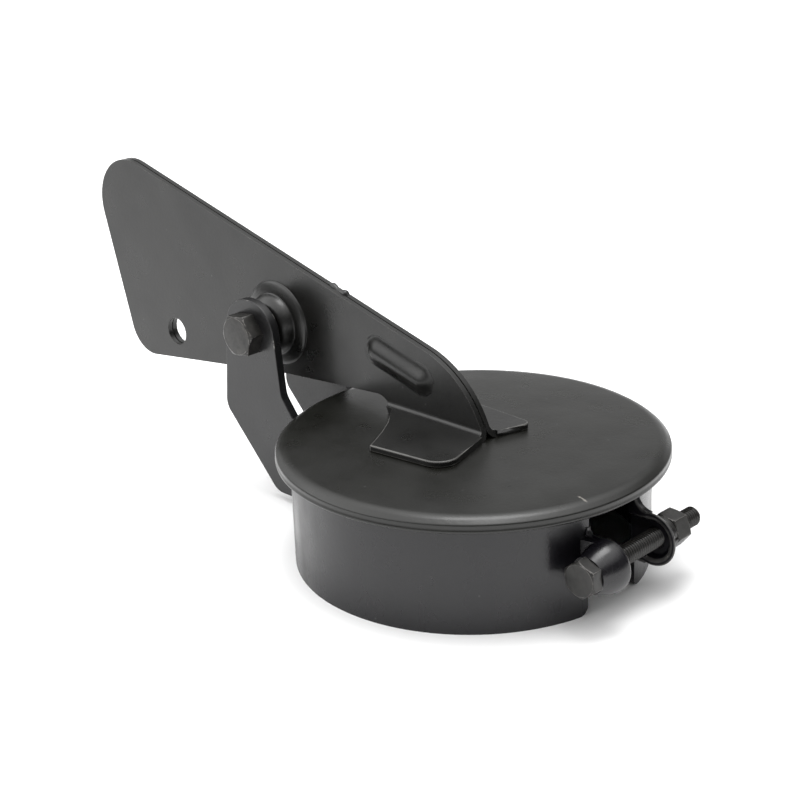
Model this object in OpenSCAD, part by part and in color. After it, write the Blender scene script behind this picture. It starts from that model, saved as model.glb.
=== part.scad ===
// Clamp-on rain cap for an upright pipe: a split collar that a cross bolt
// draws tight, and a lid that swings open on a weighted double-plate lever.
// Millimetres. The collar's axis is Z, its lower rim is z = 0, the hinge
// lies on the -X side and the clamp gap on the +X side.

/* [Collar] */
// Inner diameter of the relaxed collar
collar_bore_d = 106; // [92:1:120]
// Height of the collar band
collar_h = 36.5; // [32:0.5:50]
// Thickness of the collar sheet
collar_t = 2; // [1.5:0.1:3]
// Width of the slot between the band's two ends
gap_w = 22; // [14:1:26]
// Rounding of the band's two lower corners at the slot
band_corner_r = 3; // [1:0.5:6]

/* [Clamp ears] */
// How far the ears' round centre stands out from the band's outer face
ear_out = 5.3; // [4:0.1:7]
// Height of the ears' centre and of the clamp bolt
ear_z = 18; // [16:0.1:20]
// Outer radius of the front ear's open rim
front_ear_r = 7.9; // [7:0.1:9]
// Outer radius of the rear ear's open rim
rear_ear_r = 8.5; // [7:0.1:9]
// How far each ear's open rim reaches past the band's end into the slot
ear_lip = 1; // [0:0.1:3]
// Depth of the deep front ear, from its open rim to the face that the bolt's head bears on
front_ear_depth = 9.7; // [8:0.1:12]
// Depth of the shallow rear ear, from its open rim to the face under the nut
rear_ear_depth = 3.9; // [3.2:0.1:5]
// Radius of the flat end wall of each ear
ear_end_r = 5.5; // [5.4:0.1:6]
// Depth of the neck that joins each ear's back to the band
ear_neck_depth = 3.9; // [3:0.1:5]
// Radius of the curve that leads from the band's end onto the front ear
front_flank_r = 2.5; // [2:0.5:6]
// Radius of the curve that leads from the band's end onto the rear ear
rear_flank_r = 5; // [2:0.5:6]

/* [Lid] */
// Radial gap between the band's outer face and the lid's turned-down rim
lid_rim_gap = 3.5; // [3:0.1:7]
// How far the lid's centre lies in front of the collar's axis
lid_shift = 0.9; // [0:0.1:1.1]
// Thickness of the lid sheet
lid_t = 1.5; // [1:0.1:2]
// Depth of the lid from its flat top to its turned-down rim
lid_depth = 4.5; // [3.5:0.1:5]
// Outer rounding of the lid's shoulder
lid_shoulder_r = 2.3; // [2.1:0.1:3.2]
// Gap between the collar's upper rim and the closed lid
lid_gap = 0.3; // [0.2:0.05:0.8]

/* [Hinge] */
// Distance of the pivot behind the band's outer face
pivot_back = 28.2; // [24:0.1:34]
// Height of the pivot above the lid's top face
pivot_up = 18.85; // [16:0.05:26]
// Distance between the inner faces of the two brackets
bracket_inside_w = 24; // [22:0.2:32]
// Thickness of the bracket plates
bracket_t = 3; // [2:0.1:5]
// Outer radius of the brackets round the pivot
bracket_eye_r = 11.1; // [9.5:0.1:13]
// Distance in front of the pivot of the corner in the brackets' front edge
bracket_knee_ahead = 14.2; // [12:0.1:16]
// Depth of that corner below the pivot
bracket_knee_down = 19.1; // [16:0.1:22]
// Distance behind the pivot of the corner in the brackets' rear edge
bracket_heel_back = 14; // [12:0.1:16]
// Depth of that corner below the pivot
bracket_heel_down = 28.7; // [24:0.1:34]
// Distance in front of the pivot of the brackets' lower rear corner
bracket_toe_ahead = 9.7; // [6:0.1:14]
// Rounding of the brackets' corners
bracket_corner_r = 6; // [2:0.5:8]
// Height of the brackets where they meet the collar
bracket_seat_h = 14; // [12:0.5:20]
// Height of the brackets' lower edge above the collar's lower rim
bracket_foot_z = 3; // [1:0.5:8]
// Height of the weld seam's upper end above the collar's lower rim
weld_top_z = 18; // [12:0.5:19]
// Leg length of the weld seams
weld_leg = 2.2; // [1.5:0.1:3]

/* [Lever] */
// Thickness of each of the two lever plates
lever_t = 2; // [1.2:0.1:3]
// Inner radius of the fold between a lever plate and its foot
fold_r = 1.5; // [0.8:0.1:3]
// Slope of the lever's upper edge, in degrees
lever_slope = 15.9; // [12:0.1:18]
// How far the tail's upper corner lies behind the pivot, before rounding
tail_top_back = 100; // [85:1:120]
// Height of the lever's upper edge above the pivot, right over the pivot
edge_h = 23.8; // [21:0.1:30]
// Rounding of the tail's upper corner
tail_top_r = 16.9; // [8:0.1:20]
// How far the tail's lower corner lies behind the pivot, before rounding
tail_low_back = 78.7; // [70:0.1:84]
// How far the tail's lower corner lies below the pivot, before rounding
tail_low_down = 27.7; // [22:0.1:32]
// Rounding of the tail's lower corner
tail_low_r = 17; // [6:0.5:18]
// Depth of the lever's lower edge below the pivot
belly_down = 17.3; // [16.2:0.1:18]
// Distance in front of the pivot of the slight bend in the lower edge
belly_ahead = 3.2; // [0:0.1:10]
// Rounding of that bend
belly_r = 120; // [40:5:200]
// Distance of the fold's rear end in front of the pivot
fold_start = 52; // [46:0.5:56]
// Distance of the fold's front end in front of the pivot
fold_end = 91.2; // [86:0.1:100]
// Radius of the relief cut between the lower edge and the fold
relief_r = 12; // [5:0.5:14]
// How far the relief cut's corner lies behind the fold's rear end, before rounding
relief_back = 2.2; // [0.5:0.1:4]
// How far the relief cut's corner lies above the lid
relief_up = 5; // [4:0.1:7]
// Radius of the lever's rounded nose
nose_r = 35; // [20:1:38]
// How far the nose's upper corner lies behind the fold's front end, before rounding
nose_back = 8.6; // [6:0.1:12]
// How far the nose's lower end leans back over the fold
nose_lean = 1.9; // [0.5:0.1:3]
// Diameter of the tail hole
tail_hole_d = 10; // [6:0.5:14]
// Distance of the tail hole behind the pivot
tail_hole_back = 55.2; // [45:0.1:65]
// Depth of the tail hole below the pivot
tail_hole_down = 14.7; // [8:0.1:15.5]

/* [Lever feet] */
// How far both feet's rear edge steps forward along the fold
foot_step = 1.8; // [0.5:0.1:3]
// Width of the front foot, from the lever's middle plane
front_foot_w = 29.2; // [22:0.1:34]
// How far the front foot's outer corner lies in front of the fold's end, before rounding
front_foot_splay = 6.3; // [2:0.1:9]
// Distance of the front foot's rear point in front of the fold's rear end
front_foot_point = 17.3; // [12:0.1:22]
// Rounding of the front foot's outer corner
front_foot_corner_r = 6.5; // [3:0.1:9]
// Width of the rear foot, from the lever's middle plane
rear_foot_w = 17.5; // [14:0.1:24]
// How far the rear foot's outer corner lies in front of the fold's end, before rounding
rear_foot_splay = 4.2; // [2:0.1:9]
// Distance of the rear foot's rear point in front of the fold's rear end
rear_foot_point = 12.3; // [9:0.1:20]
// Rounding of the rear foot's outer corner
rear_foot_corner_r = 2.5; // [1:0.1:4]
// How far the middle of each foot's rear edge is drawn in
foot_waist = 1.6; // [0.6:0.1:2.5]
// Radius of that drawn-in edge
foot_waist_r = 90; // [30:5:120]

/* [Lever boss and rib] */
// Radius of the pressed boss where it leaves the plate
boss_base_r = 14.4; // [13:0.1:16]
// Radius of the crease between the boss's flat cone and its neck
boss_step_r = 10.6; // [9.8:0.1:12]
// Height of that crease above the lever's middle plane
boss_step_y = 4.2; // [3.9:0.1:5]
// Radius of the boss's outer end
boss_end_r = 7.8; // [7.4:0.1:8.6]
// Height of the boss's outer end above the lever's middle plane
boss_end_y = 8; // [7:0.1:8.2]
// Half width of the stiffening rib
rib_half_w = 5.5; // [4:0.1:6.5]
// Height of the rib above the plate's face
rib_h = 3; // [2.4:0.1:3.6]
// Length of the rib's straight middle
rib_len = 19.2; // [12:0.2:22]
// Distance of the rib's rear end in front of the pivot
rib_start = 46.7; // [40:0.1:50]
// Distance of the rib's middle line from the lever's upper edge
rib_below_edge = 9.9; // [8:0.1:11]

/* [Lever tack weld] */
// Distance of the tack weld's rear end in front of the pivot
tack_start = 23; // [16:0.5:28]
// Length of the tack weld's middle
tack_len = 9; // [4:0.1:12]
// How far the tack weld's middle line lies on the rear plate's side of the seam
tack_side = 0.8; // [0:0.1:1]
// Radius of the tack weld's bead
tack_r = 1.6; // [1.5:0.1:2]
// Height of the tack weld above the lever's upper edge
tack_h = 1.4; // [0.6:0.1:1.5]

/* [Fasteners] */
// Thread diameter of the pivot bolt
pivot_bolt_d = 8; // [6:1:8]
// Width across flats of the pivot bolt and its nut
pivot_af = 13; // [11:0.5:17]
// Height of the pivot bolt's head
pivot_head_h = 5.3; // [4:0.1:7]
// Length of the pivot bolt under its head
pivot_bolt_len = 40; // [39:1:60]
// Height of the pivot nut
pivot_nut_h = 8; // [5:0.5:8]
// Turn of the pivot bolt's head, in degrees
pivot_head_turn = 6.6; // [-30:0.1:30]
// Outer diameter of the hinge washers
washer_d = 16; // [14:0.5:20]
// Thickness of one hinge washer
washer_t = 1.6; // [1:0.1:2]
// Outer diameter of the pivot sleeve
sleeve_d = 13; // [12:0.1:13.6]
// Thread diameter of the clamp bolt
clamp_bolt_d = 6; // [4:1:8]
// Width across flats of the clamp bolt and its nut
clamp_af = 10; // [9:0.5:13]
// Height of the clamp bolt's head
clamp_head_h = 4; // [3:0.1:6]
// Length of the clamp bolt under its head
clamp_bolt_len = 51; // [48:1:70]
// Height of the clamp nut
clamp_nut_h = 6.4; // [4:0.1:8]
// Turn of the clamp bolt's head, in degrees
clamp_head_turn = -22.6; // [-30:0.1:30]
// Turn of the clamp nut, in degrees
clamp_nut_turn = -8.5; // [-30:0.1:30]
// Thickness of the spring lock washer
lock_washer_t = 2.2; // [1:0.1:2.5]

/* [Fits] */
// Radial running clearance of the sleeve on the pivot bolt
pivot_running = 0.05; // [0.02:0.01:0.1]
// Side play of the sleeve between the hinge washers, on each side
pivot_play = 0.3; // [0.2:0.05:0.6]
// Radial clearance of a bolt in a plain hole
hole_clearance = 0.3; // [0.2:0.05:0.6]
// Radial clearance of a washer on its bolt
washer_clearance = 0.2; // [0.1:0.05:0.4]
// Radial clearance of a thread in its nut
thread_clearance = 0.02; // [0.01:0.01:0.05]

/* [Hidden] */

$fn = 64;
arc_step = 5;
past = 1;
sunk = 0.3;

// Collar and its ears
bore_r = collar_bore_d / 2;
collar_r = bore_r + collar_t;
ear_x = collar_r + ear_out;
ear_rim_y = gap_w / 2 - ear_lip;
front_face_y = ear_rim_y + front_ear_depth;
rear_face_y = ear_rim_y + rear_ear_depth;

// Lid
lid_r = collar_r + lid_rim_gap + lid_t;
lid_top_z = collar_h + lid_gap + lid_t;

// Hinge, with Y distances counted from the lever's middle plane
pivot_x = -collar_r - pivot_back;
pivot_z = lid_top_z + pivot_up;
bracket_in_y = bracket_inside_w / 2;
bracket_out_y = bracket_in_y + bracket_t;
sleeve_end_y = bracket_in_y - 2 * washer_t - pivot_play;

// Lever
foot_top_z = lid_top_z + lever_t;
fold_centre_y = lever_t + fold_r;
boss_far_y = min(boss_end_y, sleeve_end_y);
tail_top_up = edge_h + tan(lever_slope) * tail_top_back;

paint = [0.24, 0.24, 0.25];
paint_lid = [0.22, 0.22, 0.21];
black_oxide = [0.16, 0.15, 0.14];

function unit(v) = v / norm(v);
function turned(v, angle) = [v.x * cos(angle) - v.y * sin(angle), v.x * sin(angle) + v.y * cos(angle)];

// The arc that rounds corner b of the path a-b-c, as points. It uses at most room of each side.
function corner_arc(a, b, c, r, room) =
    let (u = unit(a - b), w = unit(c - b), half = acos(u * w) / 2)
    let (reach = min(r / tan(half), room), start = b + u * reach)
    let (centre = b + unit(u + w) * reach / cos(half))
    let (way = sign(cross(b - a, c - b)), sweep = 180 - 2 * half, steps = ceil(sweep / arc_step))
    [for (i = [0 : steps]) centre + turned(start - centre, way * sweep * i / steps)];

// How much of the side from corner a to corner b the rounding at a may use
function side_share(a, b) = 0.98 * norm([b.x - a.x, b.y - a.y]) * a.z / (a.z + b.z);

// A closed outline from corners [x, y, rounding]
function rounded(corners) =
    let (n = len(corners))
    [for (i = [0 : n - 1]) let (c = corners[i], last = corners[(i + n - 1) % n], next = corners[(i + 1) % n])
        each c.z == 0
        ? [[c.x, c.y]]
        : corner_arc([last.x, last.y], [c.x, c.y], [next.x, next.y], c.z,
            min(side_share(c, last), side_share(c, next)))];

// Extrudes an X-Z outline from y0 to y1
module along_y(y0, y1) translate([0, y1, 0]) rotate([90, 0, 0]) linear_extrude(y1 - y0) children();

// Turns a (radius, y) profile about the Y line through x, z
module spin_y(x, z) translate([x, 0, z]) rotate([-90, 0, 0]) rotate_extrude() children();

// Round bar or hole along Y
module bar_y(x, z, r, y0, y1) translate([x, y0, z]) rotate([-90, 0, 0]) cylinder(r = r, h = y1 - y0);

// ---- Collar ----

// Outer radius of an ear at a depth below its rim
function cup_r(rim_r, depth, at) = rim_r - (rim_r - ear_end_r) * at / depth;

// Half section of an ear, a cup that narrows towards its end wall, between two depths
module cup_half_section(rim_r, depth, from, to, wall) polygon([
    [0, ear_rim_y + from], [cup_r(rim_r, depth, from) - wall, ear_rim_y + from],
    [cup_r(rim_r, depth, to) - wall, ear_rim_y + to], [0, ear_rim_y + to]]);

// An ear's round cup, and the shallower neck that runs straight back to the band.
// The same form, smaller by the wall and reaching past the rim, hollows it.
module ear_form(rim_r, depth, from, wall, back_x) {
    spin_y(ear_x, ear_z) cup_half_section(rim_r, depth, from, depth - wall, wall);
    translate([back_x, 0, ear_z]) rotate([90, 0, 90]) linear_extrude(ear_x - back_x)
        for (side = [0, 1]) mirror([0, side]) mirror([1, 0]) rotate(90)
            cup_half_section(rim_r, depth, from, min(ear_neck_depth, depth) - wall, wall + sunk);
}

module ear_body(rim_r, depth) ear_form(rim_r, depth, 0, 0, bore_r - 2 * collar_t);
module ear_hollow(rim_r, depth) ear_form(rim_r, depth, -past, collar_t, bore_r - 6 * collar_t);

// Strip of sheet that curves from the band's end down onto the top of an ear
module ear_flank(rim_r, flank_r) {
    centre_x = sqrt(collar_r * collar_r - ear_rim_y * ear_rim_y) + flank_r;
    centre_z = ear_z + rim_r - 2 * sunk + flank_r;
    difference() {
        translate([bore_r - collar_t, ear_rim_y, centre_z - flank_r - collar_t])
            cube([centre_x - bore_r + collar_t, collar_t, flank_r + collar_t]);
        bar_y(centre_x, centre_z, flank_r, 0, front_face_y, $fn = 2 * $fn);
    }
}

module band() difference() {
    cylinder(r = collar_r, h = collar_h);
    translate([0, -gap_w / 2, -past]) cube([collar_r + past, gap_w, collar_h + 2 * past]);
    for (side = [0, 1]) mirror([0, side, 0]) translate([0, gap_w / 2, 0]) difference() {
        translate([0, -past, -past]) cube([collar_r + past, band_corner_r + past, band_corner_r + past]);
        translate([-past, band_corner_r, band_corner_r]) rotate([0, 90, 0])
            cylinder(r = band_corner_r, h = collar_r + 3 * past);
    }
}

module collar() color(paint) difference() {
    union() {
        band();
        ear_body(rear_ear_r, rear_ear_depth);
        ear_flank(rear_ear_r, rear_flank_r);
        mirror([0, 1, 0]) ear_body(front_ear_r, front_ear_depth);
        mirror([0, 1, 0]) ear_flank(front_ear_r, front_flank_r);
    }
    translate([0, 0, -past]) cylinder(r = bore_r, h = collar_h + 2 * past);
    ear_hollow(rear_ear_r, rear_ear_depth);
    mirror([0, 1, 0]) ear_hollow(front_ear_r, front_ear_depth);
    bar_y(ear_x, ear_z, clamp_bolt_d / 2 + hole_clearance, -front_face_y - past, rear_face_y + past);
}

// ---- Hinge brackets and their weld seams ----

// Corners are given from the pivot. The front end runs into the collar and is cut to its curve.
module bracket_outline() {
    foot = bracket_foot_z - pivot_z;
    inside_collar = pivot_back + collar_t;
    eye_back = bracket_eye_r * 0.89;
    eye_r = bracket_eye_r * 0.98;
    polygon(rounded([
        [-eye_back, bracket_eye_r, eye_r],
        [bracket_eye_r, bracket_eye_r, eye_r],
        [bracket_knee_ahead, -bracket_knee_down, bracket_corner_r],
        [inside_collar, foot + bracket_seat_h, 0],
        [inside_collar, foot, 0],
        [bracket_toe_ahead, foot, bracket_corner_r],
        [-bracket_heel_back, -bracket_heel_down, bracket_corner_r]]));
}

module bracket_plate() difference() {
    translate([pivot_x, 0, pivot_z]) along_y(bracket_in_y, bracket_out_y) bracket_outline();
    cylinder(r = collar_r, h = collar_h, $fn = 8 * $fn);
    bar_y(pivot_x, pivot_z, pivot_bolt_d / 2 + hole_clearance, bracket_in_y - past, bracket_out_y + past);
}

// Fillet beads in the corners between the collar and both faces of one bracket, as plan forms
module weld_seams() difference() {
    translate([0, 0, bracket_foot_z + weld_leg / 2]) linear_extrude(weld_top_z - bracket_foot_z)
        for (side = [-1, 1]) {
            face_y = side < 0 ? bracket_in_y : bracket_out_y;
            seam_x = -sqrt(collar_r * collar_r - face_y * face_y);
            polygon([
                [seam_x + collar_t / 2, face_y],
                [seam_x - weld_leg, face_y],
                [seam_x, face_y + side * weld_leg],
                [seam_x + collar_t / 2, face_y + side * weld_leg]]);
        }
    cylinder(r = collar_r, h = collar_h, $fn = 8 * $fn);
}

module bracket_rear() color(paint) bracket_plate();
module bracket_front() color(paint) mirror([0, 1, 0]) bracket_plate();
module bracket_weld_rear() color(paint) weld_seams();
module bracket_weld_front() color(paint) mirror([0, 1, 0]) weld_seams();

// ---- Lid ----

// Half section of a shallow cap with a rounded shoulder, measured down from its top
module cap_half_section(r, depth, shoulder) intersection() {
    union() {
        translate([0, -depth]) square([r, depth - shoulder]);
        translate([0, -depth]) square([r - shoulder, depth]);
        translate([r - shoulder, -shoulder]) circle(shoulder);
    }
    translate([0, -depth]) square([r, depth]);
}

module lid() color(paint_lid) translate([lid_shift, 0, lid_top_z]) rotate_extrude() difference() {
    cap_half_section(lid_r, lid_depth, lid_shoulder_r);
    translate([0, -lid_t]) cap_half_section(lid_r - lid_t, lid_depth, lid_shoulder_r - lid_t);
}

// ---- Lever ----

// Height above the pivot of the lever's upper edge, at a distance in front of the pivot
function edge_up(ahead) = edge_h - tan(lever_slope) * ahead;

// Side view of a lever plate from the pivot, down to the lid
module lever_side() {
    lid_down = lid_top_z - pivot_z;
    nose_ahead = fold_end - nose_back;
    polygon(rounded([
        [-tail_top_back, tail_top_up, tail_top_r],
        [-tail_low_back, -tail_low_down, tail_low_r],
        [belly_ahead, -belly_down, belly_r],
        [fold_start - relief_back, lid_down + relief_up, relief_r],
        [fold_start, lid_down, 0],
        [fold_end, lid_down, 0],
        [fold_end - nose_lean, foot_top_z - pivot_z + fold_r, 0],
        [nose_ahead, edge_up(nose_ahead), nose_r]]));
}

// Sheet section across the fold: upright plate, bend and foot
module fold_section(foot_w) {
    upright_h = tail_top_up + pivot_up + past;
    translate([0, foot_top_z + fold_r]) square([lever_t, upright_h]);
    translate([fold_centre_y, lid_top_z]) square([foot_w - fold_centre_y, lever_t]);
    intersection() {
        translate([fold_centre_y, foot_top_z + fold_r]) difference() {
            circle(fold_r + lever_t);
            circle(fold_r);
        }
        translate([0, lid_top_z]) square([fold_centre_y, fold_r + lever_t]);
    }
}

// Plan of a foot from the pivot, with Y outwards. Its rear edge sweeps forward to a point.
module foot_plan(w, splay, point, corner_r) {
    root = [fold_start + foot_step, fold_centre_y];
    tip = [fold_start + point, w];
    drawn_in = [tip.y - root.y, root.x - tip.x] / norm(tip - root) * foot_waist;
    waist = (root + tip) / 2 + drawn_in;
    polygon(rounded([
        [fold_start, 0, 0],
        [fold_end, 0, 0],
        [fold_end, fold_centre_y, 0],
        [fold_end + splay, w - splay / 2, corner_r],
        [tip.x, tip.y, 0],
        [waist.x, waist.y, foot_waist_r],
        [root.x, root.y, 0]]));
}

module front_foot_plan() foot_plan(front_foot_w, front_foot_splay, front_foot_point, front_foot_corner_r);
module rear_foot_plan() foot_plan(rear_foot_w, rear_foot_splay, rear_foot_point, rear_foot_corner_r);

// Body of revolution that the pressed boss fills, shrunk by wall for its hollow back
module boss_form() spin_y(pivot_x, pivot_z) polygon([
    [0, lever_t / 2], [boss_base_r, lever_t / 2], [boss_base_r, lever_t],
    [boss_step_r, boss_step_y], [boss_end_r, boss_far_y], [0, boss_far_y]]);

module boss_hollow() spin_y(pivot_x, pivot_z) polygon([
    [0, -past], [boss_base_r - lever_t / 2, -past], [boss_base_r - lever_t / 2, 0],
    [boss_step_r - lever_t / 2, boss_step_y - lever_t],
    [sleeve_d / 2, boss_far_y - lever_t], [0, boss_far_y - lever_t]]);

// Round-backed rib: a bar with ball ends that lies mostly below the plate's face
module rib_form(bar_r, depth_y) {
    start = [rib_start, edge_up(rib_start) - rib_below_edge / cos(lever_slope)];
    translate([pivot_x + start.x, depth_y, pivot_z + start.y]) rotate([0, 90 + lever_slope, 0]) {
        cylinder(r = bar_r, h = rib_len);
        sphere(bar_r);
        translate([0, 0, rib_len]) sphere(bar_r);
    }
}

// One lever plate with its foot, on the +Y side. Its child is the foot's plan.
module lever_plate(foot_w) {
    rib_r = (rib_half_w * rib_half_w + rib_h * rib_h) / (2 * rib_h);
    rib_depth_y = lever_t + rib_h - rib_r;
    fold_x = pivot_x + fold_start - fold_centre_y;
    difference() {
        union() {
            intersection() {
                union() {
                    translate([pivot_x - 2 * tail_top_back, 0, 0])
                        cube([2 * tail_top_back + fold_start - fold_centre_y, lever_t, 2 * pivot_z]);
                    translate([fold_x, 0, 0]) rotate([90, 0, 90])
                        linear_extrude(2 * fold_end) fold_section(foot_w);
                }
                union() {
                    translate([pivot_x, 0, pivot_z]) along_y(0, fold_centre_y) lever_side();
                    translate([pivot_x, 0, lid_top_z]) linear_extrude(lever_t) difference() {
                        children();
                        translate([0, -past]) square([2 * fold_end, fold_centre_y + past]);
                    }
                }
            }
            boss_form();
            intersection() {
                rib_form(rib_r, rib_depth_y);
                translate([pivot_x, lever_t / 2, lid_top_z]) cube([fold_end, 2 * rib_h + lever_t, fold_end]);
            }
        }
        boss_hollow();
        intersection() {
            rib_form(rib_r - lever_t, rib_depth_y);
            translate([pivot_x, -past, lid_top_z]) cube([fold_end, 2 * rib_h + lever_t, fold_end]);
        }
        bar_y(pivot_x, pivot_z, sleeve_d / 2, -past, boss_far_y + past);
        bar_y(pivot_x - tail_hole_back, pivot_z - tail_hole_down, tail_hole_d / 2, -past, lever_t + past);
    }
}

module lever_plate_front() color(paint) mirror([0, 1, 0]) lever_plate(front_foot_w) front_foot_plan();
module lever_plate_rear() color(paint) lever_plate(rear_foot_w) rear_foot_plan();

// Small weld that ties the two plates together on their upper edge
module seam_tack() color(paint)
    translate([pivot_x + tack_start, tack_side, pivot_z + edge_up(tack_start)]) rotate([0, lever_slope, 0])
        intersection() {
            translate([0, 0, tack_h - tack_r]) rotate([0, 90, 0]) {
                cylinder(r = tack_r, h = tack_len);
                sphere(tack_r);
                translate([0, 0, tack_len]) sphere(tack_r);
            }
            translate([-tack_r, -tack_r, 0]) cube([tack_len + 2 * tack_r, 2 * tack_r, tack_r]);
        }

// Tube that is welded into both bosses and turns on the pivot bolt
module pivot_sleeve() color(paint) difference() {
    bar_y(pivot_x, pivot_z, sleeve_d / 2, -sleeve_end_y, sleeve_end_y);
    bar_y(pivot_x, pivot_z, pivot_bolt_d / 2 + pivot_running, -sleeve_end_y - past, sleeve_end_y + past);
}

// ---- Fasteners ----

// Hexagon across af from y0 to y1, with its corners turned off at the ends named in cut
module hexagon_y(x, z, af, y0, y1, turn, cut_low, cut_high) {
    face_r = af * 0.475;
    rise = (af / sqrt(3) + past - face_r) * tan(30);
    wide_r = af / sqrt(3) + past;
    intersection() {
        along_y(y0, y1) translate([x, z]) rotate(turn) circle(r = af / sqrt(3), $fn = 6);
        spin_y(x, z) polygon([
            [0, y0], [cut_low ? face_r : wide_r, y0], [wide_r, y0 + (cut_low ? rise : 0.01)],
            [wide_r, y1 - (cut_high ? rise : 0.01)], [cut_high ? face_r : wide_r, y1], [0, y1]]);
    }
}

// Bolt with its head on the -Y side, bearing at bearing_y
module bolt_y(x, z, d, af, head_h, len, turn, bearing_y) {
    tip = d * 0.12;
    hexagon_y(x, z, af, bearing_y - head_h, bearing_y, turn, true, false);
    spin_y(x, z) polygon([
        [0, bearing_y - head_h / 2], [d / 2, bearing_y - head_h / 2],
        [d / 2, bearing_y + len - tip], [d / 2 - tip, bearing_y + len], [0, bearing_y + len]]);
}

module nut_y(x, z, d, af, y0, y1, turn) difference() {
    hexagon_y(x, z, af, y0, y1, turn, true, true);
    bar_y(x, z, d / 2 + thread_clearance, y0 - past, y1 + past);
}

module washer_y(x, z, d, hole_d, y0, y1) difference() {
    bar_y(x, z, d / 2, y0, y1);
    bar_y(x, z, hole_d / 2, y0 - past, y1 + past);
}

module pivot_bolt() color(black_oxide) bolt_y(pivot_x, pivot_z, pivot_bolt_d, pivot_af, pivot_head_h,
    pivot_bolt_len, pivot_head_turn, -bracket_out_y);

module pivot_nut() color(black_oxide) nut_y(pivot_x, pivot_z, pivot_bolt_d, pivot_af,
    bracket_out_y, bracket_out_y + pivot_nut_h, pivot_head_turn);

// Hinge washer between y0 and the next one outwards
module hinge_washer(y0) color(black_oxide) washer_y(pivot_x, pivot_z, washer_d,
    pivot_bolt_d + 2 * washer_clearance, y0, y0 + washer_t);

module washer_rear_outer() hinge_washer(bracket_in_y - washer_t);
module washer_rear_inner() hinge_washer(bracket_in_y - 2 * washer_t);
module washer_front_outer() mirror([0, 1, 0]) hinge_washer(bracket_in_y - washer_t);
module washer_front_inner() mirror([0, 1, 0]) hinge_washer(bracket_in_y - 2 * washer_t);

module clamp_bolt() color(black_oxide) bolt_y(ear_x, ear_z, clamp_bolt_d, clamp_af, clamp_head_h,
    clamp_bolt_len, clamp_head_turn, -front_face_y);

// Split ring whose slit runs across its thickness
module clamp_lock_washer() color(black_oxide) difference() {
    washer_y(ear_x, ear_z, clamp_bolt_d * 1.8, clamp_bolt_d + 2 * washer_clearance,
        rear_face_y, rear_face_y + lock_washer_t);
    translate([ear_x, rear_face_y - past, ear_z - clamp_bolt_d * 0.1])
        cube([clamp_bolt_d, lock_washer_t + 2 * past, clamp_bolt_d * 0.2]);
}

module clamp_nut() color(black_oxide) nut_y(ear_x, ear_z, clamp_bolt_d, clamp_af,
    rear_face_y + lock_washer_t, rear_face_y + lock_washer_t + clamp_nut_h, clamp_nut_turn);

collar();
bracket_front();
bracket_rear();
bracket_weld_front();
bracket_weld_rear();
lid();
lever_plate_front();
lever_plate_rear();
seam_tack();
pivot_sleeve();
pivot_bolt();
pivot_nut();
washer_front_inner();
washer_front_outer();
washer_rear_inner();
washer_rear_outer();
clamp_bolt();
clamp_nut();
clamp_lock_washer();
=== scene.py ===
import math
import random

import bmesh
import bpy
from mathutils import Matrix, Vector, noise


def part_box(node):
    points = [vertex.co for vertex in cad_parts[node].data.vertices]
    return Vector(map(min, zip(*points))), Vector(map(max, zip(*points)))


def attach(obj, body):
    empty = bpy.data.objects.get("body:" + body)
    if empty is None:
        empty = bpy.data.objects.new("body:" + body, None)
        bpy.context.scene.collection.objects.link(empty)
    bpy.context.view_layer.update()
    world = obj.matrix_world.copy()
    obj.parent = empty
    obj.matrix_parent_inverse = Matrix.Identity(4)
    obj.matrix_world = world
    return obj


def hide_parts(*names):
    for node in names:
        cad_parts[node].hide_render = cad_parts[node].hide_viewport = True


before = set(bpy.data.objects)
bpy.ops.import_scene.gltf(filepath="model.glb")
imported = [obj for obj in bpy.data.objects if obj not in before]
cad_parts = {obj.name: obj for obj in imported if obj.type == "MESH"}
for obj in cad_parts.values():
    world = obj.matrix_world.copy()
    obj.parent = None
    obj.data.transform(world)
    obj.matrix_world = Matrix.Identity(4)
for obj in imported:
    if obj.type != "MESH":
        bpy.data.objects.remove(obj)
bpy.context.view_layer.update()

# ---- Camera ----
# A long lens looks down from the front right on the closed cap, rolled by two degrees,
# so that the clamp bolt is nearest and the lever runs away to the left.
look_at = Vector((-0.01436, -0.01517, 0.05035))
azimuth = math.radians(44.62)
elevation = math.radians(21.17)
roll = math.radians(-2.0)
distance = 0.4808

back = Vector((
    math.sin(azimuth) * math.cos(elevation),
    -math.cos(azimuth) * math.cos(elevation),
    math.sin(elevation)))
level_right = Vector((math.cos(azimuth), math.sin(azimuth), 0))
level_up = back.cross(level_right)
right = level_right * math.cos(roll) + level_up * math.sin(roll)
up = level_up * math.cos(roll) - level_right * math.sin(roll)

lens = bpy.data.cameras.new("view_lens")
lens.lens = 72
lens.sensor_width = 36
lens.clip_start = 0.01
camera = bpy.data.objects.new("view", lens)
turn = Matrix((right, up, back)).transposed().to_4x4()
camera.matrix_world = Matrix.Translation(look_at + back * distance) @ turn
bpy.context.scene.collection.objects.link(camera)
bpy.context.scene.camera = camera

# ---- Split collar ----
# The band is 2 mm steel sheet rolled into a ring that stays open at the front. Its two ends
# are pressed outwards into the cups that the clamp bolt draws together. It is dipped in
# satin black paint, which runs a little before it dries and leaves faint upright streaks.


def put_in_scene(piece, body):
    bpy.context.scene.collection.objects.link(piece)
    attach(piece, body)


def solid_of(node):
    """An editable copy of a node's solid, with each flat side as one face."""
    form = bmesh.new()
    form.from_mesh(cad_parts[node].data)
    bmesh.ops.remove_doubles(form, verts=form.verts, dist=1e-6)
    bmesh.ops.dissolve_limit(
        form, angle_limit=math.radians(0.6), verts=form.verts, edges=form.edges)
    return form


def bend_at(edge):
    return math.degrees(edge.calc_face_angle(0)) if len(edge.link_faces) == 2 else 0


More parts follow.
